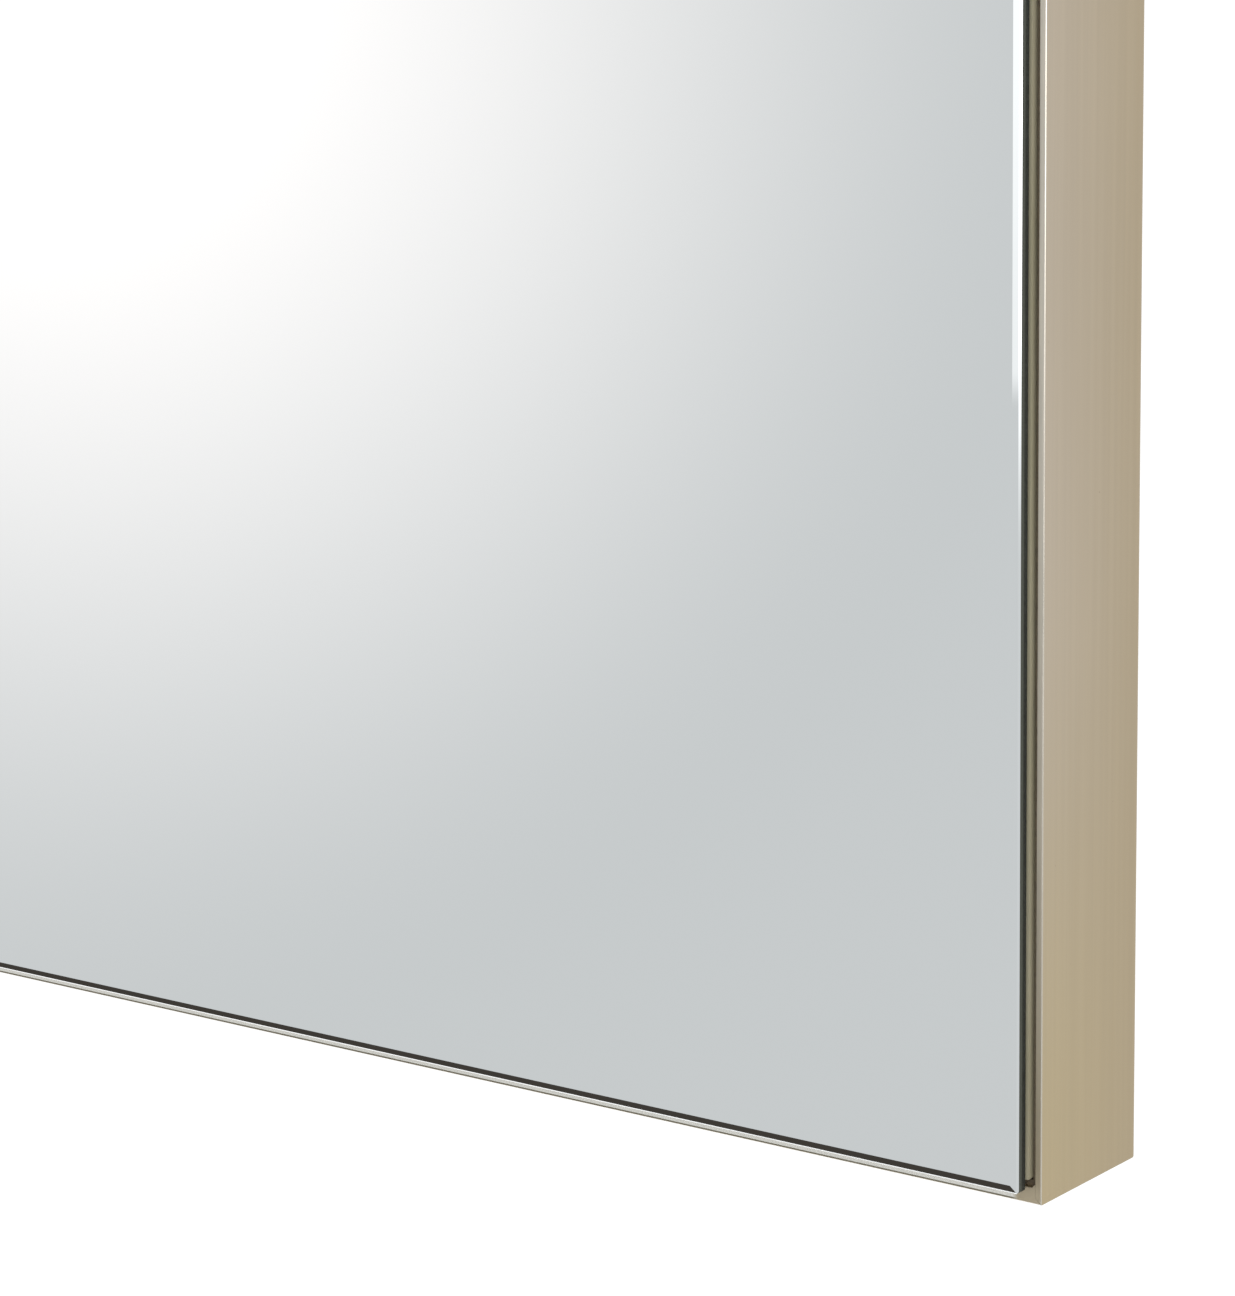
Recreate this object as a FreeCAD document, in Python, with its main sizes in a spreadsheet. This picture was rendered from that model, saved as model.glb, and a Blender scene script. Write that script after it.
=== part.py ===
import FreeCAD, Part
import math
import os

import Sketcher

# Recessed medicine cabinet with a bevelled mirror door. Millimetres, Z up.
# The wall's surface is the plane y = 0 and the room is on the -Y side, so a distance "front"
# below is how far a plane stands out from the wall: y = -front. Behind the wall front is negative.

os.makedirs("parts", exist_ok=True)
doc = FreeCAD.newDocument("medicine_cabinet")

DIMENSIONS = [
    # surround of four mitred rails
    ("case_width", 508.0),
    ("case_height", 762.0),
    ("case_depth", 50.0),
    ("wall_thick", 1.8),
    ("flange_width", 22.0),
    ("rear_radius", 2.5),
    ("front_radius", 0.35),
    ("lip_width", 4.4),
    ("lip_depth", 1.5),
    ("lip_corner", 1.0),
    ("mitre_gap", 0.04),
    ("key_leg", 46.0),
    ("key_width", 16.0),
    ("key_thick", 1.5),
    # mirror door
    ("glass_thick", 4.0),
    ("glass_proud", 5.9),
    ("glass_inset", 3.75),
    ("glass_corner", 1.0),
    ("bevel_width", 2.2),
    ("bevel_depth", 0.35),
    ("arris", 0.5),
    ("backing_thick", 0.4),
    ("backing_inset", 0.8),
    ("tape_thick", 1.0),
    ("tape_width", 20.0),
    ("tape_length", 700.0),
    ("tape_pitch", 110.0),
    ("pan_inset", 5.0),
    ("pan_inset_ends", 6.45),
    ("pan_depth", 13.5),
    ("pan_sheet", 0.9),
    ("pan_lip", 14.0),
    ("liner_thick", 1.0),
    ("liner_inset", 7.0),
    ("channel_width", 30.0),
    ("channel_length", 700.0),
    ("channel_offset", 110.0),
    ("inner_mirror_width", 320.0),
    ("inner_mirror_height", 560.0),
    ("inner_mirror_thick", 3.0),
    ("inner_mirror_corner", 6.0),
    # box in the wall and its face plate
    ("tub_width", 352.0),
    ("tub_height", 606.0),
    ("tub_recess", 89.0),
    ("tub_sheet", 1.0),
    ("tub_flange", 12.0),
    ("tub_lip", 10.0),
    ("plate_front", 32.0),
    ("plate_thick", 1.0),
    ("plate_return", 14.0),
    ("plate_gap", 0.2),
    ("back_gap", 0.3),
    ("stud_hole_radius", 2.5),
    ("stud_hole_front", -45.0),
    ("stud_hole_pitch_y", 40.0),
    ("stud_hole_pitch_z", 480.0),
    # shelves
    ("shelf_width", 344.0),
    ("shelf_front", 20.0),
    ("shelf_back", -78.0),
    ("shelf_thick", 5.0),
    ("shelf_corner", 6.0),
    ("shelf_pitch", 150.0),
    ("peg_pitch", 32.0),
    ("peg_front_row", -5.0),
    ("peg_back_row", -60.0),
    ("peg_hole_radius", 2.0),
    ("peg_radius", 1.95),
    ("clip_length", 10.0),
    ("clip_width", 8.0),
    ("rest_gap", 0.3),
    # seals, magnets and bumpers
    ("gasket_inner", 14.0),
    ("gasket_width", 6.0),
    ("gasket_height", 3.6),
    ("seal_height", 4.2),
    ("seal_clearance", 0.5),
    ("bumper_radius", 4.0),
    ("bumper_tip", 2.6),
    ("bumper_x", 225.0),
    ("bumper_z", 350.0),
    ("magnet_radius", 7.5),
    ("magnet_height", 3.1),
    ("magnet_x", 215.0),
    ("magnet_z", 200.0),
    ("strike_thick", 0.5),
    ("strike_size", 22.0),
    # continuous hinge
    ("hinge_inset", 3.2),
    ("hinge_front", 50.25),
    ("hinge_length", 700.0),
    ("knuckle_pitch", 50.0),
    ("knuckle_gap", 0.4),
    ("knuckle_radius", 1.2),
    ("bore_radius", 0.75),
    ("pin_radius", 0.7),
    ("leaf_thick", 0.8),
    ("leaf_width", 12.7),
    ("leaf_relief", 1.6),
    # fasteners
    ("standoff_radius", 4.0),
    ("standoff_bore", 2.1),
    ("standoff_inset", 13.0),
    ("screw_head_radius", 3.8),
    ("screw_head_height", 2.4),
    ("screw_shank_radius", 2.0),
    ("screw_length", 14.0),
    ("recess_width", 0.9),
    ("recess_length", 4.0),
    ("recess_depth", 1.3),
    ("rivet_head_radius", 2.4),
    ("rivet_head_height", 0.9),
    ("rivet_shank_radius", 1.2),
    ("rivet_grip", 2.6),
    ("hinge_rivet_head", 1.8),
    ("hinge_rivet_height", 0.6),
    ("hinge_rivet_shank", 0.9),
    ("hinge_rivet_front", 43.0),
    ("hinge_rivet_pitch", 125.0),
]

sheet = doc.addObject("Spreadsheet::Sheet", "Dims")
for row, (alias, value) in enumerate(DIMENSIONS, start=1):
    sheet.set("A%d" % row, alias)
    sheet.set("B%d" % row, "%g" % value)
    sheet.setAlias("B%d" % row, alias)

# planes that several parts share
DERIVED = [
    ("half_width", "=case_width / 2"),
    ("half_height", "=case_height / 2"),
    ("lip_back", "=case_depth - lip_depth"),
    ("glass_front", "=case_depth + glass_proud"),
    ("glass_back", "=glass_front - glass_thick"),
    ("backing_back", "=glass_back - backing_thick"),
    ("pan_front", "=backing_back - tape_thick"),
    ("pan_back", "=pan_front - pan_depth"),
    ("liner_back", "=pan_back - liner_thick"),
    ("plate_back", "=plate_front - plate_thick"),
    ("mouth_half_width", "=tub_width / 2 - tub_sheet"),
    ("mouth_half_height", "=tub_height / 2 - tub_sheet"),
    ("pan_half_width", "=half_width - pan_inset"),
    ("pan_half_height", "=half_height - pan_inset_ends"),
    ("free_edge", "=half_width - glass_inset"),
    ("hinge_x", "=hinge_inset - half_width"),
]
for row, (alias, formula) in enumerate(DERIVED, start=len(DIMENSIONS) + 1):
    sheet.set("A%d" % row, alias)
    sheet.set("B%d" % row, formula)
    sheet.setAlias("B%d" % row, alias)
doc.recompute()

NAMES = [alias for alias, _ in DIMENSIONS + DERIVED]


def bind(text):
    """Write an expression's dimension names as references to the sheet."""
    words = []
    word = ""
    for letter in str(text) + " ":
        if letter.isalnum() or letter in "_.":
            word += letter
            continue
        words.append("Dims." + word if word in NAMES else word)
        words.append(letter)
        word = ""
    return "".join(words).strip()


# ---------------------------------------------------------------- PartDesign helpers

def new_body(label):
    body = doc.addObject("PartDesign::Body", label)
    body.Label = label
    return body


def origin_plane(body, role):
    for feature in body.Origin.OriginFeatures:
        if feature.Role == role:
            return feature
    raise RuntimeError("no plane " + role)


def new_sketch(body, name, role, offset):
    sketch = body.newObject("Sketcher::SketchObject", name)
    sketch.AttachmentSupport = [(origin_plane(body, role), "")]
    sketch.MapMode = "FlatFace"
    sketch.setExpression("AttachmentOffset.Base.z", bind(offset))
    sketch.Visibility = False
    return sketch


def place_point(sketch, geometry, point, start, where):
    """Hold one point of the sketch at the two distances from its origin given as expressions."""
    for kind, value, expression in (("DistanceX", start.x, where[0]), ("DistanceY", start.y, where[1])):
        index = sketch.addConstraint(Sketcher.Constraint(kind, -1, 1, geometry, point, value))
        sketch.setExpression("Constraints[%d]" % index, bind(expression))


def polygon(body, name, role, offset, corners):
    sketch = new_sketch(body, name, role, offset)
    count = len(corners)
    start = []
    for i in range(count):
        turn = 2 * math.pi * i / count
        start.append(FreeCAD.Vector(40 * math.cos(turn), 40 * math.sin(turn), 0))
    for i in range(count):
        sketch.addGeometry(Part.LineSegment(start[i], start[(i + 1) % count]), False)
    for i in range(count):
        sketch.addConstraint(Sketcher.Constraint("Coincident", i, 2, (i + 1) % count, 1))
    for i in range(count):
        place_point(sketch, i, 1, start[i], corners[i])
    return sketch


def rectangle(body, name, role, offset, left, right, low, high):
    corners = [(left, low), (right, low), (right, high), (left, high)]
    return polygon(body, name, role, offset, corners)


def centred(body, name, offset, half_x, half_z):
    """A rectangle centred on the cabinet's axis in a plane parallel to the wall."""
    return rectangle(body, name, "XZ_Plane", offset, "-(%s)" % half_x, half_x, "-(%s)" % half_z, half_z)


def circles(body, name, role, offset, radius, centres):
    sketch = new_sketch(body, name, role, offset)
    for i, centre in enumerate(centres):
        start = FreeCAD.Vector(10 * (i + 1), 10, 0)
        sketch.addGeometry(Part.Circle(start, FreeCAD.Vector(0, 0, 1), 1.0), False)
        index = sketch.addConstraint(Sketcher.Constraint("Radius", i, 1.0))
        sketch.setExpression("Constraints[%d]" % index, bind(radius))
        place_point(sketch, i, 3, start, centre)
    return sketch


def pad(body, sketch, length):
    feature = body.newObject("PartDesign::Pad", sketch.Name + "_pad")
    feature.Profile = sketch
    feature.setExpression("Length", bind(length))
    doc.recompute()
    return feature


def pocket(body, sketch, length, forwards=False):
    """Cut away from the room, or towards it when forwards is set."""
    before = body.Shape.Volume
    feature = body.newObject("PartDesign::Pocket", sketch.Name + "_cut")
    feature.Profile = sketch
    feature.setExpression("Length", bind(length))
    feature.Reversed = forwards
    doc.recompute()
    if body.Shape.Volume > before - 1e-3:
        raise RuntimeError(sketch.Name + " cuts nothing")
    return feature


def edges_where(feature, test):
    """Names of the straight edges whose two end points both satisfy the test."""
    found = []
    for number, edge in enumerate(feature.Shape.Edges, start=1):
        points = [vertex.Point for vertex in edge.Vertexes]
        if len(points) == 2 and all(test(point) for point in points):
            found.append("Edge%d" % number)
    return found


def round_edges(body, name, base, edges, radius):
    feature = body.newObject("PartDesign::Fillet", name)
    feature.Base = (base, edges)
    feature.setExpression("Radius", bind(radius))
    doc.recompute()
    return feature


def near(first, second):
    return abs(first - second) < 1e-4


# ---------------------------------------------------------------- Part helpers

def part_box(name, left, right, back, front, low, high):
    """A box from x left to right, front distance back to front, and z low to high."""
    solid = doc.addObject("Part::Box", name)
    solid.setExpression("Length", bind("(%s) - (%s)" % (right, left)))
    solid.setExpression("Width", bind("(%s) - (%s)" % (front, back)))
    solid.setExpression("Height", bind("(%s) - (%s)" % (high, low)))
    solid.setExpression("Placement.Base.x", bind(left))
    solid.setExpression("Placement.Base.y", bind("-(%s)" % front))
    solid.setExpression("Placement.Base.z", bind(low))
    return solid


def span(side, inner, outer):
    """Low and high ends of a stretch that lies between two distances on one side of the axis."""
    if side > 0:
        return inner, outer
    return "-(%s)" % outer, "-(%s)" % inner


TURNS = {
    "up": FreeCAD.Rotation(),
    "room": FreeCAD.Rotation(FreeCAD.Vector(1, 0, 0), 90),
    "wall": FreeCAD.Rotation(FreeCAD.Vector(1, 0, 0), -90),
    "right": FreeCAD.Rotation(FreeCAD.Vector(0, 1, 0), 90),
    "left": FreeCAD.Rotation(FreeCAD.Vector(0, 1, 0), -90),
}


def rod(name, radius, length, direction, x, front, z, tip=None):
    """A cylinder, or a cone where a tip radius is given, that starts at a point and runs one way."""
    solid = doc.addObject("Part::Cone" if tip else "Part::Cylinder", name)
    if tip:
        solid.setExpression("Radius1", bind(radius))
        solid.setExpression("Radius2", bind(tip))
    else:
        solid.setExpression("Radius", bind(radius))
    solid.setExpression("Height", bind(length))
    solid.Placement = FreeCAD.Placement(FreeCAD.Vector(0, 0, 0), TURNS[direction])
    solid.setExpression("Placement.Base.x", bind(x))
    solid.setExpression("Placement.Base.y", bind("-(%s)" % front))
    solid.setExpression("Placement.Base.z", bind(z))
    return solid


def fuse(name, shapes):
    result = doc.addObject("Part::MultiFuse", name)
    result.Shapes = shapes
    result.Refine = True
    return result


def cut(name, base, tool):
    result = doc.addObject("Part::Cut", name)
    result.Base = base
    result.Tool = tool
    return result


def group(label, shapes):
    """Separate solids that share one node."""
    result = doc.addObject("Part::Compound", label)
    result.Label = label
    result.Links = shapes
    return result


parts = []

# ---------------------------------------------------------------- surround

def mitred(body, name, offset, half, inset, inner):
    """A trapezium with 45 degree ends, from one distance in from the outer face to another."""
    corners = [
        ("%s - (%s)" % (inset, half), inset),
        ("%s - %s" % (half, inset), inset),
        ("%s - %s" % (half, inner), inner),
        ("%s - (%s)" % (inner, half), inner),
    ]
    return polygon(body, name, "XZ_Plane", offset, corners)


def return_lip(body, label):
    """A flat lip turned in along the front of a rail. Its ends butt on the side rails and round
    the corners of the opening."""
    end = "half_width - wall_thick - mitre_gap"
    root = "wall_thick - lip_depth / 2"
    lip = rectangle(body, label + "_lip", "XZ_Plane", "lip_back", "-(%s)" % end, end, root, "lip_width")
    last = pad(body, lip, "lip_depth")
    for side in (-1, 1):
        corner = "%d * (%s)" % (side, end)
        inner = "%d * (%s - lip_corner)" % (side, end)
        outline = [(inner, root), (corner, root), (corner, "lip_width + lip_corner"), (inner, "lip_width")]
        web = polygon(body, "%s_web_%s" % (label, "lr"[side > 0]), "XZ_Plane", "lip_back", outline)
        last = pad(body, web, "lip_depth")
    return last


def make_rail(label, length, turn, base, lip=False):
    """A mitred rail: side wall and rear flange on the wall. Local +Z points inwards."""
    body = new_body(label)
    half = "%s / 2 - mitre_gap" % length
    pad(body, mitred(body, label + "_block", "0", half, "0", "flange_width"), "case_depth")
    last = pocket(body, mitred(body, label + "_hollow", "case_depth", half, "wall_thick", "flange_width + 1"),
                  "case_depth - wall_thick")
    if lip:
        last = return_lip(body, label)
    rear = edges_where(last, lambda p: near(p.y, 0) and near(p.z, 0))
    last = round_edges(body, label + "_bend", last, rear, "rear_radius")
    front = edges_where(last, lambda p: near(p.y, -sheet.case_depth) and near(p.z, 0))
    body.Tip = round_edges(body, label + "_edge", last, front, "front_radius")
    body.Placement = FreeCAD.Placement(
        FreeCAD.Vector(0, 0, 0), FreeCAD.Rotation(FreeCAD.Vector(0, 1, 0), turn)
    )
    body.setExpression("Placement.Base.x", bind(base[0]))
    body.setExpression("Placement.Base.z", bind(base[1]))
    parts.append(body)


make_rail("rail_bottom", "case_width", 0, ("0", "-half_height"), lip=True)
make_rail("rail_top", "case_width", 180, ("0", "half_height"), lip=True)
make_rail("rail_right", "case_height", -90, ("half_width", "0"))
make_rail("rail_left", "case_height", 90, ("-half_width", "0"))


def tag(side, end):
    return "lr"[side > 0] + "bt"[end > 0]


CORNERS = [(side, end) for side in (-1, 1) for end in (-1, 1)]

keys = []
key_x = "half_width - wall_thick - 0.5"
key_z = "half_height - wall_thick - 0.5"
for side, end in CORNERS:
    legs = []
    for leg, size_x, size_z in (("along_x", "key_leg", "key_width"), ("along_z", "key_width", "key_leg")):
        left, right = span(side, "%s - %s" % (key_x, size_x), key_x)
        low, high = span(end, "%s - %s" % (key_z, size_z), key_z)
        name = "key_%s_%s" % (tag(side, end), leg)
        legs.append(part_box(name, left, right, "wall_thick", "wall_thick + key_thick", low, high))
    keys.append(fuse("key_" + tag(side, end), legs))
parts.append(group("corner_keys", keys))

# ---------------------------------------------------------------- face plate and box in the wall

# standoff centres: three up each side rail, two along the top and bottom rails
standoff_x = "half_width - standoff_inset"
standoff_z = "half_height - standoff_inset"
STANDOFFS = []
for side in (-1, 1):
    for height in ("-half_height * 0.66", "0", "half_height * 0.66"):
        STANDOFFS.append(("%d * (%s)" % (side, standoff_x), height))
for end in (-1, 1):
    for across in ("-case_width / 4", "case_width / 4"):
        STANDOFFS.append((across, "%d * (%s)" % (end, standoff_z)))

plate = new_body("face_plate")
plate_x = "half_width - wall_thick - plate_gap"
plate_z = "half_height - wall_thick - plate_gap"
pad(plate, centred(plate, "plate_sheet", "plate_back", plate_x, plate_z), "plate_thick")
pocket(plate, centred(plate, "plate_mouth", "plate_front", "mouth_half_width", "mouth_half_height"),
       "plate_thick * 2")
plate.Tip = pocket(
    plate,
    circles(plate, "plate_holes", "XZ_Plane", "plate_front", "screw_shank_radius + 0.2", STANDOFFS),
    "plate_thick * 2",
)
parts.append(plate)

# a strip on edge that stiffens the plate's rim
stiffener = new_body("plate_frame")
pad(stiffener, centred(stiffener, "frame_outside", "plate_front - plate_return", plate_x, plate_z),
    "plate_return - plate_thick")
stiffener.Tip = pocket(
    stiffener,
    centred(stiffener, "frame_inside", "plate_back", plate_x + " - plate_thick", plate_z + " - plate_thick"),
    "plate_return",
)
parts.append(stiffener)

tub = new_body("tub")
pad(tub, centred(tub, "tub_block", "-tub_recess", "tub_width / 2", "tub_height / 2"),
    "tub_recess + plate_back")
pocket(tub, centred(tub, "tub_inside", "plate_back", "mouth_half_width", "mouth_half_height"),
       "tub_recess + plate_back - tub_sheet")
pocket(tub, centred(tub, "tub_rear", "tub_sheet - tub_recess",
                    "mouth_half_width - tub_lip", "mouth_half_height - tub_lip"), "tub_sheet * 2")

# peg holes: a row for each shelf with one spare row above and below it
PEG_COLUMNS = ("-peg_front_row", "-peg_back_row")
SHELF_ROWS = ("-shelf_pitch", "0", "shelf_pitch")
peg_holes = []
for column in PEG_COLUMNS:
    for shelf_row in SHELF_ROWS:
        for step in (-1, 0, 1):
            peg_holes.append((column, "%s + %d * peg_pitch" % (shelf_row, step)))
pocket(tub, circles(tub, "peg_holes", "YZ_Plane", "tub_width / 2 + 1", "peg_hole_radius", peg_holes),
       "tub_width + 2")
stud_holes = []
for across in (-1, 1):
    for end in (-1, 1):
        stud_holes.append(("%d * stud_hole_pitch_y / 2 - stud_hole_front" % across,
                           "%d * stud_hole_pitch_z / 2" % end))
tub.Tip = pocket(
    tub,
    circles(tub, "stud_holes", "YZ_Plane", "tub_width / 2 + 1", "stud_hole_radius", stud_holes),
    "tub_width + 2",
)
parts.append(tub)

ring = new_body("tub_flange")
pad(ring, centred(ring, "ring_outside", "plate_back - tub_sheet",
                  "tub_width / 2 + tub_flange", "tub_height / 2 + tub_flange"), "tub_sheet")
ring.Tip = pocket(ring, centred(ring, "ring_inside", "plate_back", "tub_width / 2", "tub_height / 2"),
                  "tub_sheet * 2")
parts.append(ring)

back = new_body("back_panel")
back.Tip = pad(
    back,
    centred(back, "back_sheet", "tub_sheet - tub_recess",
            "mouth_half_width - back_gap", "mouth_half_height - back_gap"),
    "tub_sheet",
)
parts.append(back)

# ---------------------------------------------------------------- fixings of the surround

standoffs = []
screws = []
for i, (x, z) in enumerate(STANDOFFS):
    length = "plate_back - wall_thick"
    tube = rod("standoff_tube_%d" % i, "standoff_radius", length, "room", x, "wall_thick", z)
    bore = rod("standoff_bore_%d" % i, "standoff_bore", length, "room", x, "wall_thick", z)
    standoffs.append(cut("standoff_%d" % i, tube, bore))
    head = rod("screw_head_%d" % i, "screw_head_radius", "screw_head_height", "room", x, "plate_front", z,
               tip="screw_head_radius * 0.7")
    shank = rod("screw_shank_%d" % i, "screw_shank_radius", "screw_length", "wall", x, "plate_front", z)
    top = "plate_front + screw_head_height"
    arms = []
    for arm, across, upright in (("flat", "recess_length", "recess_width"),
                                 ("tall", "recess_width", "recess_length")):
        arms.append(part_box("screw_%s_%d" % (arm, i),
                             "%s - %s / 2" % (x, across), "%s + %s / 2" % (x, across),
                             top + " - recess_depth", top + " + 1",
                             "%s - %s / 2" % (z, upright), "%s + %s / 2" % (z, upright)))
    blank = fuse("screw_blank_%d" % i, [head, shank])
    screws.append(cut("screw_%d" % i, blank, fuse("screw_recess_%d" % i, arms)))
parts.append(group("standoffs", standoffs))
parts.append(group("standoff_screws", screws))


def rivet(name, head_radius, head_height, shank_radius, grip, away, x, front, z):
    """A rivet whose head stands on a surface and whose shank runs into it."""
    into = {"room": "wall", "wall": "room", "left": "right", "right": "left"}[away]
    head = rod(name + "_head", head_radius, head_height, away, x, front, z, tip=head_radius + " * 0.6")
    shank = rod(name + "_shank", shank_radius, grip, into, x, front, z)
    return fuse(name, [head, shank])


tub_rivets = []
flange_x = "tub_width / 2 + tub_flange / 2"
flange_z = "tub_height / 2 + tub_flange / 2"
TUB_RIVETS = []
for side in (-1, 1):
    for fraction in (-0.4, -0.13, 0.13, 0.4):
        TUB_RIVETS.append(("%d * (%s)" % (side, flange_x), "%g * tub_height" % fraction))
    for fraction in (-0.3, 0.3):
        TUB_RIVETS.append(("%g * tub_width" % fraction, "%d * (%s)" % (side, flange_z)))
for i, (x, z) in enumerate(TUB_RIVETS):
    tub_rivets.append(rivet("tub_rivet_%d" % i, "rivet_head_radius", "rivet_head_height",
                            "rivet_shank_radius", "rivet_grip", "room", x, "plate_front", z))
parts.append(group("tub_rivets", tub_rivets))

# ---------------------------------------------------------------- shelves and their clips

clips = []
shelf_x = "tub_width / 2 - tub_sheet"
for row_number, shelf_row in enumerate(SHELF_ROWS):
    for column, front in enumerate(("peg_front_row", "peg_back_row")):
        for side in (-1, 1):
            name = "clip_%d%d%s" % (row_number, column, "lr"[side > 0])
            left, right = span(side, shelf_x + " - clip_length", shelf_x)
            ledge = part_box(name + "_ledge", left, right,
                             front + " - clip_width / 2", front + " + clip_width / 2",
                             shelf_row + " - peg_radius", shelf_row + " + peg_radius")
            start = "%d * (%s - clip_length / 2)" % (side, shelf_x)
            peg = rod(name + "_peg", "peg_radius", "clip_length / 2 + tub_sheet + 1",
                      "right" if side > 0 else "left", start, front, shelf_row)
            clips.append(fuse(name, [ledge, peg]))
parts.append(group("shelf_clips", clips))

for label, shelf_row in zip(("shelf_lower", "shelf_middle", "shelf_upper"), SHELF_ROWS):
    shelf = new_body(label)
    outline = rectangle(shelf, label + "_outline", "XY_Plane", shelf_row + " + peg_radius + rest_gap",
                        "-shelf_width / 2", "shelf_width / 2", "-shelf_front", "-shelf_back")
    slab = pad(shelf, outline, "shelf_thick")
    front_y = -sheet.shelf_front
    upright = edges_where(slab, lambda p: near(p.y, front_y))
    upright = [name for name in upright
               if near(slab.Shape.Edges[int(name[4:]) - 1].tangentAt(0).z ** 2, 1)]
    shelf.Tip = round_edges(shelf, label + "_corners", slab, upright, "shelf_corner")
    parts.append(shelf)

# ---------------------------------------------------------------- gasket, seal, bumpers, magnets

gasket = new_body("door_gasket")
pad(gasket, centred(gasket, "gasket_outside", "plate_front",
                    "mouth_half_width + gasket_inner + gasket_width",
                    "mouth_half_height + gasket_inner + gasket_width"), "gasket_height")
gasket.Tip = pocket(gasket, centred(gasket, "gasket_inside", "plate_front + gasket_height",
                                    "mouth_half_width + gasket_inner",
                                    "mouth_half_height + gasket_inner"), "gasket_height + 1")
parts.append(gasket)

# the seal runs along the bottom, the free side and the top of the gap, and stops at the hinge
seal = new_body("dust_seal")
seal_x = "half_width - wall_thick"
seal_z = "half_height - wall_thick"
lip_x = "free_edge + seal_clearance"
lip_z = "pan_half_height + seal_clearance"
seal_outline = [
    ("-pan_half_width", "-(%s)" % seal_z),
    (seal_x, "-(%s)" % seal_z),
    (seal_x, seal_z),
    ("-pan_half_width", seal_z),
    ("-pan_half_width", lip_z),
    (lip_x, lip_z),
    (lip_x, "-(%s)" % lip_z),
    ("-pan_half_width", "-(%s)" % lip_z),
]
seal.Tip = pad(seal, polygon(seal, "seal_outline", "XZ_Plane", "lip_back - seal_height", seal_outline),
               "seal_height")
parts.append(seal)

bumpers = []
for side, end in CORNERS:
    bumpers.append(rod("bumper_" + tag(side, end), "bumper_radius", "gasket_height", "room",
                       "%d * bumper_x" % side, "plate_front", "%d * bumper_z" % end, tip="bumper_tip"))
parts.append(group("door_bumpers", bumpers))

magnets = []
strikes = []
for end in (-1, 1):
    z = "%d * magnet_z" % end
    magnets.append(rod("magnet_" + "bt"[end > 0], "magnet_radius", "magnet_height", "room",
                       "magnet_x", "plate_front", z))
    strikes.append(part_box("strike_" + "bt"[end > 0],
                            "magnet_x - strike_size / 2", "magnet_x + strike_size / 2",
                            "liner_back - strike_thick", "liner_back",
                            z + " - strike_size / 2", z + " + strike_size / 2"))
parts.append(group("catch_magnets", magnets))

# ---------------------------------------------------------------- mirror door

glass = new_body("mirror_glass")
glass_x = "half_width - glass_inset"
glass_z = "half_height - glass_inset"
pane = pad(glass, centred(glass, "pane_outline", "glass_back", glass_x, glass_z), "glass_thick")
pane_front = -sheet.glass_front
rim = edges_where(pane, lambda p: near(p.y, pane_front))
bevel = glass.newObject("PartDesign::Chamfer", "bevel")
bevel.Base = (pane, rim)
bevel.ChamferType = "Two distances"
bevel.setExpression("Size", bind("bevel_width"))
bevel.setExpression("Size2", bind("bevel_depth"))
doc.recompute()
front_faces = [face for face in bevel.Shape.Faces if near(face.CenterOfMass.y, pane_front)]
if not near(front_faces[0].BoundBox.XLength,
            sheet.case_width - 2 * sheet.glass_inset - 2 * sheet.bevel_width):
    bevel.FlipDirection = True
    doc.recompute()
bevel_foot = -(sheet.glass_front - sheet.bevel_depth)
arris = glass.newObject("PartDesign::Chamfer", "arris_cut")
arris.Base = (bevel, edges_where(bevel, lambda p: near(p.y, bevel_foot)))
arris.setExpression("Size", bind("arris"))
doc.recompute()
corner_length = sheet.glass_thick - sheet.bevel_depth - sheet.arris
upright = [
    "Edge%d" % number for number, edge in enumerate(arris.Shape.Edges, start=1)
    if near(edge.BoundBox.XLength + edge.BoundBox.ZLength, 0) and abs(edge.Length - corner_length) < 0.1
]
glass.Tip = round_edges(glass, "pane_corners", arris, upright, "glass_corner")
parts.append(glass)

backing = new_body("mirror_backing")
backing.Tip = pad(
    backing,
    centred(backing, "backing_outline", "backing_back", glass_x + " - backing_inset",
            glass_z + " - backing_inset"),
    "backing_thick",
)
parts.append(backing)

tapes = []
for step in (-2, -1, 0, 1, 2):
    centre = "%d * tape_pitch" % step
    tapes.append(part_box("tape_%d" % (step + 2), centre + " - tape_width / 2", centre + " + tape_width / 2",
                          "pan_front", "backing_back", "-tape_length / 2", "tape_length / 2"))
parts.append(group("mounting_tape", tapes))

pan = new_body("door_pan")


def pan_outline(name, offset, inset):
    """The pan's outline moved in all round: flush with the glass on its free side, further in elsewhere."""
    return rectangle(pan, name, "XZ_Plane", offset,
                     "%s - pan_half_width" % inset, "free_edge - %s" % inset,
                     "%s - pan_half_height" % inset, "pan_half_height - %s" % inset)


pad(pan, pan_outline("pan_block", "pan_back", "0"), "pan_depth")
pocket(pan, pan_outline("pan_opening", "pan_back", "pan_lip"), "pan_sheet * 2", forwards=True)
pan.Tip = pocket(pan, pan_outline("pan_inside", "pan_back + pan_sheet", "pan_sheet"),
                 "pan_depth - pan_sheet * 2", forwards=True)
parts.append(pan)

channels = []
for side in (-1, 1):
    name = "channel_" + "lr"[side > 0]
    centre = "%d * channel_offset" % side
    outer = part_box(name + "_outer", centre + " - channel_width / 2", centre + " + channel_width / 2",
                     "pan_back", "pan_front - pan_sheet", "-channel_length / 2", "channel_length / 2")
    inner = part_box(name + "_inner",
                     centre + " - channel_width / 2 + pan_sheet",
                     centre + " + channel_width / 2 - pan_sheet",
                     "pan_back - 1", "pan_front - pan_sheet * 2",
                     "-channel_length / 2 - 1", "channel_length / 2 + 1")
    channels.append(cut(name, outer, inner))
parts.append(group("door_channels", channels))

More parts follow.
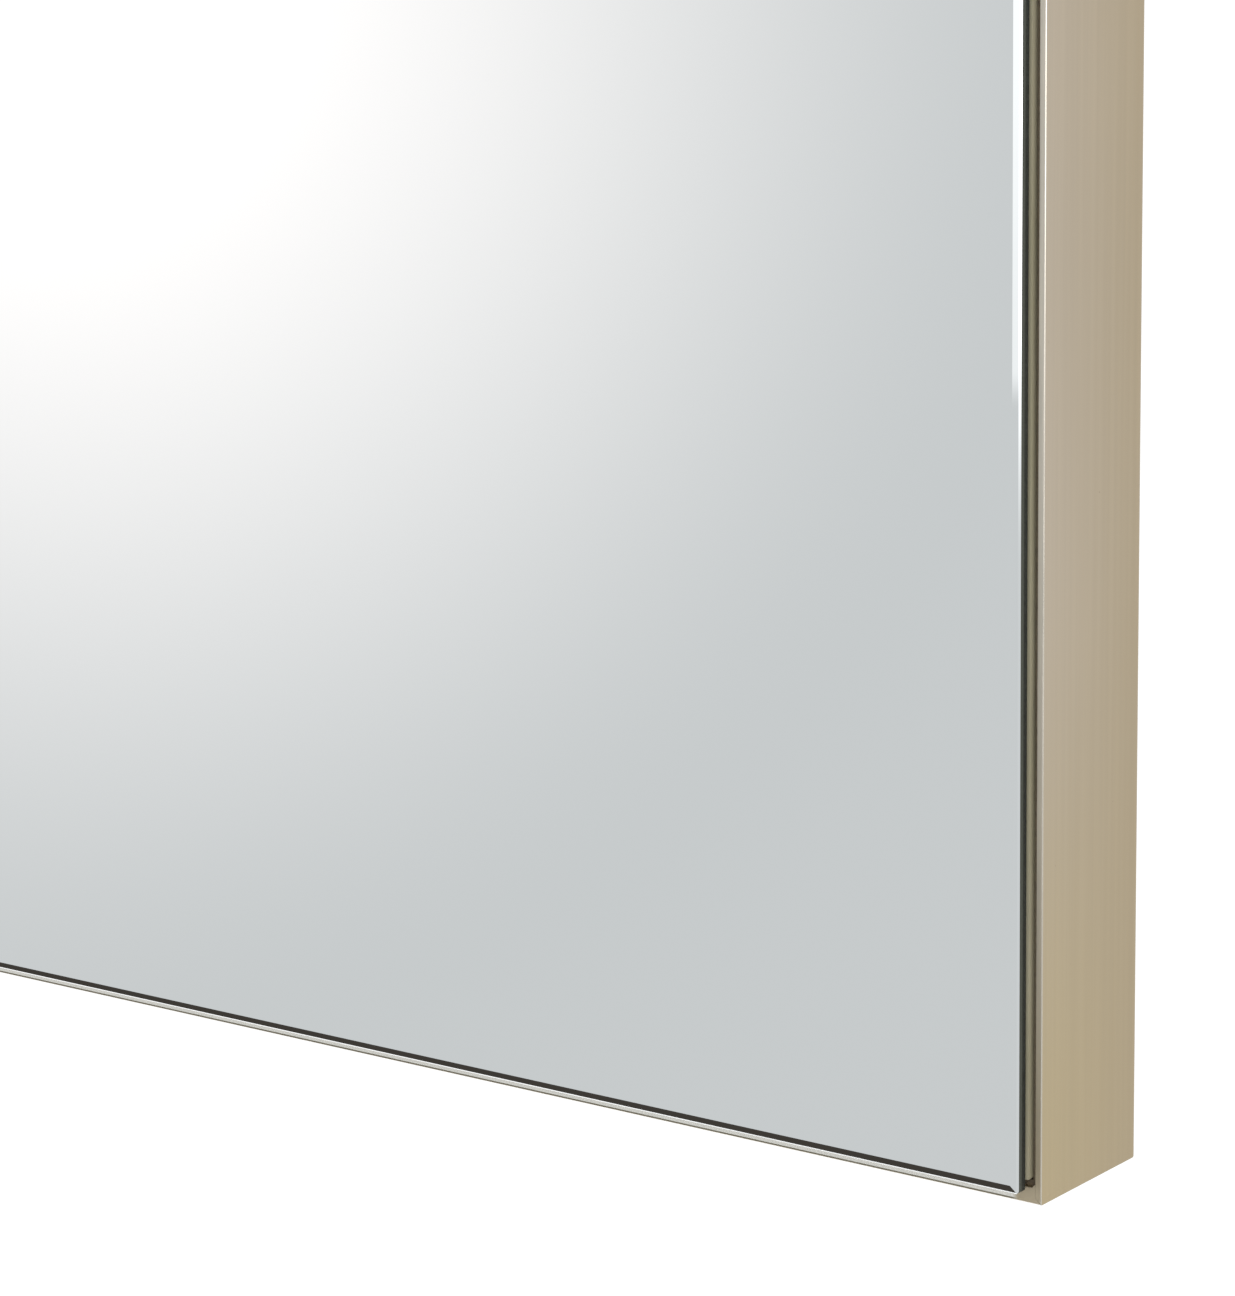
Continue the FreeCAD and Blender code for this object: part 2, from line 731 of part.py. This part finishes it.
liner = new_body("door_liner")
liner.Tip = pad(liner, centred(liner, "liner_outline", "liner_back",
                               "half_width - liner_inset", "half_height - liner_inset"), "liner_thick")
parts.append(liner)

liner_rivets = []
LINER_RIVETS = []
for side in (-1, 1):
    for fraction in (-0.42, -0.14, 0.14, 0.42):
        LINER_RIVETS.append(("%d * (pan_half_width - pan_lip * 0.6)" % side, "%g * case_height" % fraction))
    for fraction in (-0.25, 0.25):
        LINER_RIVETS.append(("%g * case_width" % fraction, "%d * (pan_half_height - pan_lip * 0.6)" % side))
for i, (x, z) in enumerate(LINER_RIVETS):
    liner_rivets.append(rivet("liner_rivet_%d" % i, "rivet_head_radius", "rivet_head_height",
                              "rivet_shank_radius", "rivet_grip", "wall", x, "liner_back", z))
parts.append(group("liner_rivets", liner_rivets))

inner_mirror = new_body("inner_mirror")
inner_pane = pad(
    inner_mirror,
    centred(inner_mirror, "inner_mirror_outline", "liner_back - inner_mirror_thick",
            "inner_mirror_width / 2", "inner_mirror_height / 2"),
    "inner_mirror_thick",
)
thickness_edges = [
    "Edge%d" % number for number, edge in enumerate(inner_pane.Shape.Edges, start=1)
    if near(edge.Length, sheet.inner_mirror_thick)
]
inner_mirror.Tip = round_edges(inner_mirror, "inner_mirror_corners", inner_pane, thickness_edges,
                               "inner_mirror_corner")
parts.append(inner_mirror)
parts.append(group("strike_plates", strikes))

# ---------------------------------------------------------------- continuous hinge

knuckle_count = int(round(sheet.hinge_length / sheet.knuckle_pitch))


def make_leaf(label, side, first):
    """A leaf with every second knuckle. Side -1 lies on the rail, +1 on the door pan."""
    far = "hinge_inset - wall_thick" if side < 0 else "pan_inset - hinge_inset"
    inner = "%s - leaf_thick" % far
    left, right = span(side, inner, far)
    left = "hinge_x + (%s)" % left
    right = "hinge_x + (%s)" % right
    pieces = [part_box(label + "_plate", left, right,
                       "hinge_front - leaf_relief - leaf_width", "hinge_front - leaf_relief",
                       "-hinge_length / 2", "hinge_length / 2")]
    for number in range(first, knuckle_count, 2):
        low = "%d * knuckle_pitch + knuckle_gap / 2 - hinge_length / 2" % number
        height = "knuckle_pitch - knuckle_gap"
        name = "%s_%d" % (label, number)
        pieces.append(rod(name + "_knuckle", "knuckle_radius", height, "up", "hinge_x", "hinge_front", low))
        pieces.append(part_box(name + "_web", left, right,
                               "hinge_front - leaf_relief - 1", "hinge_front",
                               low, "%s + %s" % (low, height)))
    solid = fuse(label + "_solid", pieces)
    bore = rod(label + "_bore", "bore_radius", "hinge_length + 2", "up", "hinge_x", "hinge_front",
               "-hinge_length / 2 - 1")
    leaf = cut(label, solid, bore)
    leaf.Label = label
    parts.append(leaf)


make_leaf("hinge_leaf_case", -1, 0)
make_leaf("hinge_leaf_door", 1, 1)
pin = rod("hinge_pin", "pin_radius", "hinge_length", "up", "hinge_x", "hinge_front", "-hinge_length / 2")
pin.Label = "hinge_pin"
parts.append(pin)

case_rivets = []
door_rivets = []
for step in range(-2, 4):
    z = "(%g) * hinge_rivet_pitch" % (step - 0.5)
    leaf_face = "hinge_x - hinge_inset + wall_thick + leaf_thick"
    case_rivets.append(rivet("case_rivet_%d" % (step + 2), "hinge_rivet_head", "hinge_rivet_height",
                             "hinge_rivet_shank", "leaf_thick + wall_thick / 2", "right",
                             leaf_face, "hinge_rivet_front", z))
    door_face = "pan_inset - half_width - leaf_thick"
    door_rivets.append(rivet("door_rivet_%d" % (step + 2), "hinge_rivet_head", "hinge_rivet_height",
                             "hinge_rivet_shank", "leaf_thick + pan_sheet + 1", "left",
                             door_face, "hinge_rivet_front", z + " + knuckle_pitch / 2"))
parts.append(group("hinge_rivets_case", case_rivets))
parts.append(group("hinge_rivets_door", door_rivets))

# ---------------------------------------------------------------- checks and export

doc.recompute()
for item in doc.Objects:
    if "Invalid" in item.State or "Error" in item.State:
        raise RuntimeError("%s is %s" % (item.Label, item.State))
for part in parts:
    if part.Shape.isNull() or not part.Shape.isValid():
        raise RuntimeError(part.Label + " has no valid shape")
    part.Shape.exportStep(os.path.join("parts", part.Label + ".step"))
    box = part.Shape.BoundBox
    print("%-20s solids %2d  x %8.2f %8.2f  y %8.2f %8.2f  z %8.2f %8.2f" % (
        part.Label, len(part.Shape.Solids),
        box.XMin, box.XMax, box.YMin, box.YMax, box.ZMin, box.ZMax,
    ))
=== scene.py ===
import math

import bpy
from mathutils import Matrix, Vector


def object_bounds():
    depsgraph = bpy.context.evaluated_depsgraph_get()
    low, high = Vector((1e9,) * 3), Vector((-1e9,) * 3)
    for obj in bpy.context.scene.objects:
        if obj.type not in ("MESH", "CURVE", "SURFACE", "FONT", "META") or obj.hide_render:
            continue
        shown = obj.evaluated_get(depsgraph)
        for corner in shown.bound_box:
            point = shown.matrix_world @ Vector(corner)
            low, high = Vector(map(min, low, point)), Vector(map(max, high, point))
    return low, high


# Medicine cabinet with a bevelled mirror door, seen close at its lower right corner.
# Metres, Z up, the wall's surface at y = 0 and the room on the -Y side.

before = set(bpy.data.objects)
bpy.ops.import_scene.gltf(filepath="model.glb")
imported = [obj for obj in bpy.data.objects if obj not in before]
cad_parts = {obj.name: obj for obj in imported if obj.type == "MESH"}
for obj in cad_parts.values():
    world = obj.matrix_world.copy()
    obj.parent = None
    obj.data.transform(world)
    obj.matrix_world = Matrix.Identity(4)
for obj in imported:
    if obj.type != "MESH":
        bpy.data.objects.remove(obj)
cad_low, cad_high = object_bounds()

MM = 0.001
HALF_WIDTH = cad_high[0]
HALF_HEIGHT = cad_high[2]

# planes of the cabinet along y, and widths of its bands of painted highlight and painted shade
RAIL_FRONT = -50 * MM
GLASS_EDGE_FRONT = -53.9 * MM
GLASS_EDGE_BACK = -53.3 * MM
EDGE_BAND = 0.5 * MM
EDGE_DEPTH = 1 * MM
DEEP_START = -48 * MM
DEEP_END = -4 * MM
RIM_INNER = 0.8 * MM
RIM_OUTER = 0.6 * MM
LIP_HIGHLIGHT_START = HALF_WIDTH - 7.0 * MM
LIP_HIGHLIGHT_FULL = HALF_WIDTH - 9.0 * MM

# heights, in metres, between which the metal's tone and the painted light on its front lip change
WARM_START = -0.20
WARM_FULL = -0.38
LIP_LIGHT_FULL_Z = -0.18
LIP_LIGHT_LOW_Z = -0.37


def linear(*levels):
    """Display levels from 0 to 255 as linear colour, with alpha 1."""
    values = []
    for level in levels:
        part = level / 255.0
        values.append(part / 12.92 if part <= 0.04045 else ((part + 0.055) / 1.055) ** 2.4)
    return (*values, 1.0)


# ---------------------------------------------------------------- node helpers

class Graph:
    """A short way to build one shader tree."""

    def __init__(self, tree):
        self.tree = tree
        tree.nodes.clear()

    def node(self, kind, settings=None, **inputs):
        made = self.tree.nodes.new(kind)
        for name, value in (settings or {}).items():
            setattr(made, name, value)
        for name, value in inputs.items():
            self.set(made, name.replace("_", " "), value)
        return made

    def set(self, node, name, value):
        socket = node.inputs[int(name)] if name.isdigit() else node.inputs[name]
        if isinstance(value, bpy.types.NodeSocket):
            self.tree.links.new(value, socket)
        else:
            socket.default_value = value

    def math(self, operation, first, second=0.0, third=None):
        made = self.tree.nodes.new("ShaderNodeMath")
        made.operation = operation
        self.set(made, "0", first)
        self.set(made, "1", second)
        if third is not None:
            self.set(made, "2", third)
        return made.outputs[0]

    def ramp(self, value, start, end, low=0.0, high=1.0, smooth=True):
        """value from start to end, as low to high, held at both ends."""
        made = self.tree.nodes.new("ShaderNodeMapRange")
        made.interpolation_type = "SMOOTHSTEP" if smooth else "LINEAR"
        self.set(made, "Value", value)
        self.set(made, "From Min", start)
        self.set(made, "From Max", end)
        self.set(made, "To Min", low)
        self.set(made, "To Max", high)
        return made.outputs[0]

    def mix(self, factor, first, second):
        made = self.tree.nodes.new("ShaderNodeMix")
        made.data_type = "RGBA"
        self.set(made, "0", factor)
        self.set(made, "6", first)
        self.set(made, "7", second)
        return made.outputs[2]

    def place(self):
        return self.node("ShaderNodeTexCoord")

    def noise(self, scale, detail=3.0, rough=0.5, stretch=(1, 1, 1), move=(0, 0, 0)):
        """Noise over the object. scale is the number of blobs a metre; stretch multiplies it by axis."""
        mapping = self.node("ShaderNodeMapping", Vector=self.place().outputs["Object"])
        mapping.inputs["Scale"].default_value = stretch
        mapping.inputs["Location"].default_value = move
        made = self.node("ShaderNodeTexNoise", Vector=mapping.outputs[0], Scale=scale, Detail=detail,
                         Roughness=rough)
        return made.outputs["Fac"]

    def bump(self, height, strength, distance, under=None):
        made = self.node("ShaderNodeBump", Height=height, Strength=strength, Distance=distance)
        if under is not None:
            self.set(made, "Normal", under)
        return made.outputs[0]


def material(name):
    made = bpy.data.materials.new(name)
    made.use_nodes = True
    return made, Graph(made.node_tree)


def finish_surface(graph, shader):
    out = graph.node("ShaderNodeOutputMaterial")
    graph.tree.links.new(shader.outputs[0], out.inputs["Surface"])


def principled(graph, color, roughness, metallic=0.0, **inputs):
    shader = graph.node("ShaderNodeBsdfPrincipled", Metallic=metallic)
    graph.set(shader, "Base Color", color)
    graph.set(shader, "Roughness", roughness)
    for name, value in inputs.items():
        graph.set(shader, name.replace("_", " "), value)
    return shader


# ---------------------------------------------------------------- materials

PAINTED_EDGE_HIGHLIGHT = linear(222, 214, 200)
LIP_PAINTED_LIGHT = linear(244, 236, 222)
LIP_PAINTED_HIGHLIGHT = linear(253, 251, 244)
LIP_RIM_SHADE = linear(140, 134, 116)
CHAMPAGNE = linear(180, 168, 150)
CHAMPAGNE_WARM = linear(176, 161, 129)
CHAMPAGNE_DEEP = linear(168, 153, 126)
SPECK = linear(120, 104, 84)


def front_edge(g):
    """1 on the rounded front edge of a rail, where a highlight is painted into the colour, and 0 elsewhere.
    """
    place = g.place()
    normal = g.node("ShaderNodeSeparateXYZ", Vector=place.outputs["Normal"])
    where = g.node("ShaderNodeSeparateXYZ", Vector=place.outputs["Object"])
    sideways = g.math("MAXIMUM", g.math("ABSOLUTE", normal.outputs["X"]),
                      g.math("ABSOLUTE", normal.outputs["Z"]))
    corner = g.math("MULTIPLY", sideways, g.math("ABSOLUTE", normal.outputs["Y"]))
    outer = g.math("MAXIMUM", g.math("ABSOLUTE", where.outputs["X"]),
                   g.math("SUBTRACT", g.math("ABSOLUTE", where.outputs["Z"]), HALF_HEIGHT - HALF_WIDTH))
    band = g.math("MULTIPLY", g.math("GREATER_THAN", outer, HALF_WIDTH - EDGE_BAND),
                  g.math("LESS_THAN", where.outputs["Y"], RAIL_FRONT + EDGE_DEPTH))
    return g.math("MULTIPLY", g.ramp(corner, 0.15, 0.35), band)


def brushed_champagne(name, grain):
    """Anodised metal brushed along one axis: fine streaks, a slow change of tone and a few specks.

    Its tone warms downwards and deepens towards the wall. The flat front lip is lightened with painted light
    that fades downwards, and its rounded edge carries a painted highlight and is less rough."""
    made, g = material(name)
    along = {"X": (0.012, 1, 1), "Z": (1, 1, 0.012)}[grain]
    streaks = g.noise(2600, 4, 0.6, along)
    broad = g.noise(420, 3, 0.55, along, (3, 1, 7))
    clouds = g.noise(9, 2, 0.5)
    where = g.node("ShaderNodeSeparateXYZ", Vector=g.place().outputs["Object"])
    base = g.mix(g.ramp(where.outputs["Z"], WARM_START, WARM_FULL), CHAMPAGNE, CHAMPAGNE_WARM)
    deep = g.ramp(where.outputs["Y"], DEEP_START, DEEP_END, 0.0, 0.8, smooth=False)
    base = g.mix(deep, base, CHAMPAGNE_DEEP)
    tone = g.math("ADD", g.ramp(streaks, 0.3, 0.7, -0.035, 0.035), g.ramp(broad, 0.3, 0.7, -0.02, 0.02))
    tone = g.math("ADD", tone, g.ramp(clouds, 0.3, 0.7, -0.015, 0.015))
    shade = g.math("ADD", tone, 1.0)
    tinted = g.node("ShaderNodeVectorMath", {"operation": "SCALE"}, Vector=base, Scale=shade).outputs[0]
    specks = g.node("ShaderNodeTexVoronoi", {"feature": "F1"}, Vector=g.place().outputs["Object"],
                    Scale=130.0)
    chance = g.node("ShaderNodeSeparateColor", Color=specks.outputs["Color"]).outputs[0]
    dots = g.math("MULTIPLY", g.ramp(specks.outputs["Distance"], 0.045, 0.02),
                  g.math("GREATER_THAN", chance, 0.90))
    color = g.mix(g.math("MULTIPLY", dots, 0.45), tinted, SPECK)
    rough = g.ramp(streaks, 0.25, 0.75, 0.36, 0.50)
    normals = g.node("ShaderNodeSeparateXYZ", Vector=g.place().outputs["Normal"])
    lip = g.ramp(normals.outputs["Y"], -0.90, -0.97)
    # painted light on the front-facing lip: full at the top, 0.24 of it low down
    painted_lip_light = g.ramp(where.outputs["Z"], LIP_LIGHT_FULL_Z, LIP_LIGHT_LOW_Z, 1.0, 0.24, smooth=False)
    color = g.mix(g.math("MULTIPLY", lip, painted_lip_light), color, LIP_PAINTED_LIGHT)
    if grain == "X":
        # the level lips get a painted highlight along the glass and painted shade on their outer rim
        inwards = g.math("SUBTRACT", HALF_HEIGHT, g.math("ABSOLUTE", where.outputs["Z"]))
        painted_lip_highlight = g.ramp(g.math("ABSOLUTE", where.outputs["X"]), LIP_HIGHLIGHT_START, LIP_HIGHLIGHT_FULL)
        painted_lip_highlight = g.math("MULTIPLY", painted_lip_highlight, lip)
        color = g.mix(painted_lip_highlight, color, LIP_PAINTED_HIGHLIGHT)
        # painted shade on the lip's outer rim, within about a millimetre of its edge
        painted_rim_shade = g.math("MULTIPLY", painted_lip_highlight, g.ramp(inwards, RIM_INNER, RIM_OUTER))
        color = g.mix(painted_rim_shade, color, LIP_RIM_SHADE)
    rough = g.math("ADD", rough, g.math("MULTIPLY", lip, 0.12))
    # painted highlight along the rounded front edge, which is also made less rough
    painted_edge_highlight = front_edge(g)
    color = g.mix(painted_edge_highlight, color, PAINTED_EDGE_HIGHLIGHT)
    rough = g.math("SUBTRACT", rough, g.math("MULTIPLY", painted_edge_highlight, 0.26))
    normal = g.bump(streaks, 0.10, 0.00006)
    normal = g.bump(broad, 0.06, 0.0002, normal)
    finish_surface(g, principled(g, color, rough, 1.0, Normal=normal))
    return made


def satin_champagne():
    """The door pan's folded sheet: lacquered, a little glossier and more yellow."""
    made, g = material("champagne_sheet")
    patches = g.noise(60, 3, 0.55, (1, 1, 0.15))
    fine = g.noise(1500, 3, 0.6, (1, 1, 0.03))
    color = g.mix(g.ramp(patches, 0.3, 0.7), linear(184, 177, 148), linear(198, 190, 163))
    rough = g.ramp(fine, 0.3, 0.7, 0.42, 0.56)
    finish_surface(g, principled(g, color, rough, 0.35, Normal=g.bump(fine, 0.08, 0.00005)))
    return made


def mirror_pane(name, front):
    """Silvered glass: mirror face and bevel, a dark ground edge all round and a dark back.

    front is -1 for a pane that faces the room and +1 for one that faces the wall."""
    made, g = material(name)
    place = g.place()
    normal = g.node("ShaderNodeSeparateXYZ", Vector=place.outputs["Normal"])
    where = g.node("ShaderNodeSeparateXYZ", Vector=place.outputs["Object"])
    facing = g.math("MULTIPLY", normal.outputs["Y"], float(front))
    silvered = g.math("GREATER_THAN", facing, 0.5)
    haze = g.noise(7, 2, 0.5)
    silver = g.mix(haze, (0.925, 0.945, 0.945, 1), (0.935, 0.95, 0.95, 1))
    mirror = principled(g, silver, g.ramp(haze, 0.3, 0.7, 0.004, 0.012), 1.0)
    depth = g.ramp(where.outputs["Y"], GLASS_EDGE_FRONT, GLASS_EDGE_BACK)
    grit = g.noise(2500, 3, 0.6)
    edge_color = g.mix(depth, linear(66, 68, 61), linear(30, 31, 26))
    edge_color = g.mix(g.ramp(grit, 0.35, 0.75, 0.0, 0.25), edge_color, linear(100, 104, 98))
    edge = principled(g, edge_color, g.ramp(grit, 0.3, 0.7, 0.45, 0.65), Normal=g.bump(grit, 0.2, 0.00005))
    edge.inputs["Specular IOR Level"].default_value = 0.15
    blend = g.node("ShaderNodeMixShader")
    g.set(blend, "Fac", silvered)
    g.tree.links.new(edge.outputs[0], blend.inputs[1])
    g.tree.links.new(mirror.outputs[0], blend.inputs[2])
    finish_surface(g, blend)
    return made


def clear_shelf():
    """Toughened glass: clear through its faces, green along its polished edges."""
    made, g = material("shelf_glass")
    normal = g.node("ShaderNodeSeparateXYZ", Vector=g.place().outputs["Normal"])
    flat = g.ramp(g.math("ABSOLUTE", normal.outputs["Z"]), 0.5, 0.9)
    color = g.mix(flat, (0.32, 0.62, 0.52, 1), (0.90, 0.97, 0.95, 1))
    smears = g.noise(18, 3, 0.6)
    shader = principled(g, color, g.ramp(smears, 0.35, 0.75, 0.01, 0.06), Transmission_Weight=0.92, IOR=1.5)
    finish_surface(g, shader)
    return made


def enamel(name, color, dirt, rough=(0.30, 0.42)):
    """Powder coat: orange peel, faint unevenness of tone and gloss."""
    made, g = material(name)
    peel = g.noise(900, 2, 0.5)
    patches = g.noise(22, 3, 0.55)
    tone = g.mix(g.ramp(patches, 0.35, 0.75), color, dirt)
    shader = principled(g, tone, g.ramp(patches, 0.3, 0.7, *rough), Normal=g.bump(peel, 0.12, 0.0002))
    finish_surface(g, shader)
    return made


def plated(name, light, dark, rough, grain=(1, 1, 1), scale=700):
    """Bright metal with fine marks and a patchy sheen."""
    made, g = material(name)
    marks = g.noise(scale, 4, 0.6, grain)
    patches = g.noise(35, 2, 0.5)
    color = g.mix(g.ramp(patches, 0.3, 0.7), light, dark)
    shader = principled(g, color, g.ramp(marks, 0.3, 0.7, *rough), 1.0, Normal=g.bump(marks, 0.08, 0.00008))
    finish_surface(g, shader)
    return made


def soft(name, light, dark, rough, cell=900, depth=0.0002):
    """Rubber, foam, tape or moulded plastic: matt, with a fine grain."""
    made, g = material(name)
    grain = g.noise(cell, 3, 0.6)
    color = g.mix(g.ramp(grain, 0.3, 0.7), light, dark)
    shader = principled(g, color, g.ramp(grain, 0.3, 0.7, *rough), Normal=g.bump(grain, 0.3, depth))
    finish_surface(g, shader)
    return made


FINISHES = {
    "side": brushed_champagne("champagne_upright", "Z"),
    "level": brushed_champagne("champagne_level", "X"),
    "sheet": satin_champagne(),
    "mirror": mirror_pane("mirror", -1),
    "inner": mirror_pane("mirror_inside", 1),
    "shelf": clear_shelf(),
    "enamel": enamel("white_enamel", (0.72, 0.72, 0.70, 1), (0.66, 0.66, 0.64, 1)),
    "zinc": plated("zinc_steel", (0.66, 0.67, 0.69, 1), (0.52, 0.53, 0.55, 1), (0.26, 0.42), scale=260),
    "hinge": plated("hinge_steel", (0.60, 0.59, 0.57, 1), (0.50, 0.49, 0.47, 1), (0.25, 0.38), (1, 1, 0.03)),
    "rivet": plated("rivet_metal", (0.75, 0.76, 0.77, 1), (0.62, 0.63, 0.64, 1), (0.30, 0.45)),
    "nickel": plated("nickel", (0.78, 0.76, 0.72, 1), (0.70, 0.68, 0.64, 1), (0.08, 0.18)),
    "film": soft("backing_film", (0.17, 0.19, 0.21, 1), (0.13, 0.15, 0.17, 1), (0.45, 0.6)),
    "tape": soft("black_tape", (0.020, 0.020, 0.020, 1), (0.035, 0.035, 0.035, 1), (0.6, 0.8)),
    "foam": soft("foam", (0.60, 0.60, 0.58, 1), (0.45, 0.45, 0.44, 1), (0.7, 0.9), 1400, 0.0004),
    "rubber": soft("black_rubber", linear(104, 92, 74), linear(88, 78, 64), (0.5, 0.7)),
    "gel": soft("clear_rubber", (0.72, 0.74, 0.74, 1), (0.62, 0.64, 0.64, 1), (0.15, 0.3)),
    "magnet": soft("magnet", (0.030, 0.030, 0.032, 1), (0.050, 0.050, 0.052, 1), (0.4, 0.6)),
}

NODE_FINISH = {
    "rail_left": "side", "rail_right": "side", "rail_top": "level", "rail_bottom": "level",
    "door_pan": "sheet", "mirror_glass": "mirror", "inner_mirror": "inner",
    "shelf_lower": "shelf", "shelf_middle": "shelf", "shelf_upper": "shelf",
    "tub": "enamel", "tub_flange": "enamel", "back_panel": "enamel",
    "face_plate": "enamel", "plate_frame": "enamel", "door_liner": "enamel",
    "corner_keys": "zinc", "standoffs": "zinc", "standoff_screws": "zinc", "door_channels": "zinc",
    "strike_plates": "zinc", "hinge_leaf_case": "hinge", "hinge_leaf_door": "hinge", "hinge_pin": "hinge",
    "tub_rivets": "rivet", "liner_rivets": "rivet",
    "hinge_rivets_case": "rivet", "hinge_rivets_door": "rivet",
    "shelf_clips": "nickel", "mirror_backing": "film", "mounting_tape": "tape", "door_gasket": "foam",
    "dust_seal": "rubber", "door_bumpers": "gel", "catch_magnets": "magnet",
}
for node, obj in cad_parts.items():
    finish = FINISHES[NODE_FINISH[node]]
    for slot in obj.material_slots:
        slot.material = finish

# ---------------------------------------------------------------- floor, light and camera

# the floor fades out round the cabinet, so that it stands against plain white
FLOOR_DROP = 1.25
FLOOR_REACH = 9.0
FADE_START = 0.66
FADE_END = 0.86
floor_mesh = bpy.data.meshes.new("floor")
corners = [(-FLOOR_REACH, -FLOOR_REACH, 0), (FLOOR_REACH, -FLOOR_REACH, 0),
           (FLOOR_REACH, FLOOR_REACH, 0), (-FLOOR_REACH, FLOOR_REACH, 0)]
floor_mesh.from_pydata(corners, [], [(0, 1, 2, 3)])
floor = bpy.data.objects.new("floor", floor_mesh)
floor.location.z = -FLOOR_DROP
bpy.context.collection.objects.link(floor)
made, g = material("floor")
spot = g.node("ShaderNodeSeparateXYZ", Vector=g.place().outputs["Object"])
radius = g.math("SQRT", g.math("ADD", g.math("POWER", spot.outputs["X"], 2.0),
                               g.math("POWER", spot.outputs["Y"], 2.0)))
cloth = g.noise(60, 3, 0.5)
ground = principled(g, g.mix(cloth, (0.80, 0.80, 0.80, 1), (0.84, 0.84, 0.84, 1)), 0.9)
clear = g.node("ShaderNodeBsdfTransparent")
fade = g.node("ShaderNodeMixShader")
g.set(fade, "Fac", g.ramp(radius, FADE_START, FADE_END))
g.tree.links.new(ground.outputs[0], fade.inputs[1])
g.tree.links.new(clear.outputs[0], fade.inputs[2])
finish_surface(g, fade)
floor_mesh.materials.append(made)

# The studio: white behind the cabinet, soft grey in front of it, one round soft light far to the left,
# two upright soft lights, ahead and to the right, whose lower edges are just under the horizon, a
# grey card far to the right, and a dark carpet and a small dark board low on the left.
GREY = (0.611, 0.628, 0.635, 1.0)
WHITE = (1.10, 1.10, 1.10, 1.0)
DARK = (0.050, 0.044, 0.038, 1.0)
GLOW_TINT = (1.11, 1.0, 0.97)
RIGHT_BOX = 2.0
GLOW_LEVEL = 0.53
GLOW_RADIUS = math.radians(17.6)
LEFT_LIGHT = Vector((-0.734, -0.679, 0.013)).normalized()
world = bpy.data.worlds.new("studio")
bpy.context.scene.world = world
world.use_nodes = True
g = Graph(world.node_tree)
direction = g.node("ShaderNodeTexCoord").outputs["Generated"]
part = g.node("ShaderNodeSeparateXYZ", Vector=direction)
room = g.mix(g.ramp(part.outputs["Y"], -0.45, 0.10), GREY, WHITE)
bearing = g.math("ARCTAN2", g.math("MULTIPLY", part.outputs["X"], -1.0),
                 g.math("MULTIPLY", part.outputs["Y"], -1.0))


def between(right_out, right_in, left_in, left_out):
    """1 between two bearings, in degrees left of straight ahead of the mirror, with soft ends."""
    return g.math("MULTIPLY", g.ramp(bearing, math.radians(left_out), math.radians(left_in)),
                  g.ramp(bearing, math.radians(right_out), math.radians(right_in)))


def by_height(mask, nothing, full, most=1.0):
    """mask times 0 to most, as the z of the direction goes from nothing to full."""
    return g.math("MULTIPLY", mask, g.ramp(part.outputs["Z"], nothing, full, 0.0, most))


aim = g.node("ShaderNodeVectorMath", {"operation": "DOT_PRODUCT"})
g.tree.links.new(direction, aim.inputs[0])
aim.inputs[1].default_value = LEFT_LIGHT
apart = g.math("ARCCOSINE", aim.outputs["Value"])
glow = g.ramp(apart, GLOW_RADIUS, 0.0, 0.0, GLOW_LEVEL)
panel = by_height(by_height(between(2, 5, 23, 25), -0.114, -0.102), 0.60, 0.50)
bright = g.math("MULTIPLY", panel, g.ramp(part.outputs["Z"], -0.11, 0.0, 0.30, 0.44))
right_box = by_height(between(-78, -70, -18, -12), -0.16, -0.02, RIGHT_BOX)
warm_glow = g.node("ShaderNodeVectorMath", {"operation": "SCALE"}, Scale=glow)
warm_glow.inputs[0].default_value = GLOW_TINT
added = g.node("ShaderNodeVectorMath", {"operation": "ADD"})
g.set(added, "0", warm_glow.outputs[0])
g.set(added, "1", g.math("ADD", bright, right_box))
carpet = by_height(between(18, 26, 62, 70), -0.395, -0.42)
board = by_height(by_height(between(104, 106, 115, 117), -0.60, -0.62), -0.75, -0.73)
carpet = g.math("MAXIMUM", carpet, board)
card = by_height(between(-130, -108, -96, -82), 0.45, 0.15, 0.75)
room = g.mix(card, room, GREY)
level = g.node("ShaderNodeVectorMath", {"operation": "ADD"})
g.set(level, "0", g.mix(carpet, room, DARK))
g.set(level, "1", added.outputs[0])
sky = g.node("ShaderNodeBackground", Strength=1.0)
g.set(sky, "Color", level.outputs[0])
out = g.node("ShaderNodeOutputWorld")
g.tree.links.new(sky.outputs[0], out.inputs["Surface"])


def soft_light(name, place, target, size, power):
    data = bpy.data.lights.new(name, "AREA")
    data.shape = "RECTANGLE"
    data.size, data.size_y = size
    data.energy = power
    lamp = bpy.data.objects.new(name, data)
    lamp.location = place
    lamp.rotation_euler = (Vector(target) - Vector(place)).to_track_quat("-Z", "Y").to_euler()
    lamp.visible_camera = False
    lamp.visible_glossy = False
    bpy.context.collection.objects.link(lamp)


soft_light("backdrop_light", (0.4, 2.6, 2.2), (0.2, 1.2, -FLOOR_DROP), (3.0, 2.0), 15)

# the camera stands to the right of the cabinet's lower corner and looks back and down at it
EYE = Vector((0.70865, -0.80539, -0.07137))
RIGHT = Vector((0.78898, 0.61418, -0.01736))
UP = Vector((-0.09681, 0.15216, 0.98360))
LENS = 97.53

lens = bpy.data.cameras.new("camera")
lens.sensor_width = 36.0
lens.lens = LENS
lens.clip_start = 0.01
lens.clip_end = 50.0
camera = bpy.data.objects.new("camera", lens)
turn = Matrix((RIGHT, UP, RIGHT.cross(UP))).transposed()
camera.matrix_world = Matrix.Translation(EYE) @ turn.to_4x4()
bpy.context.collection.objects.link(camera)
bpy.context.scene.camera = camera

view = bpy.context.scene.view_settings
view.view_transform = "Standard"
view.look = "None"
view.exposure = 0.0
view.gamma = 1.0
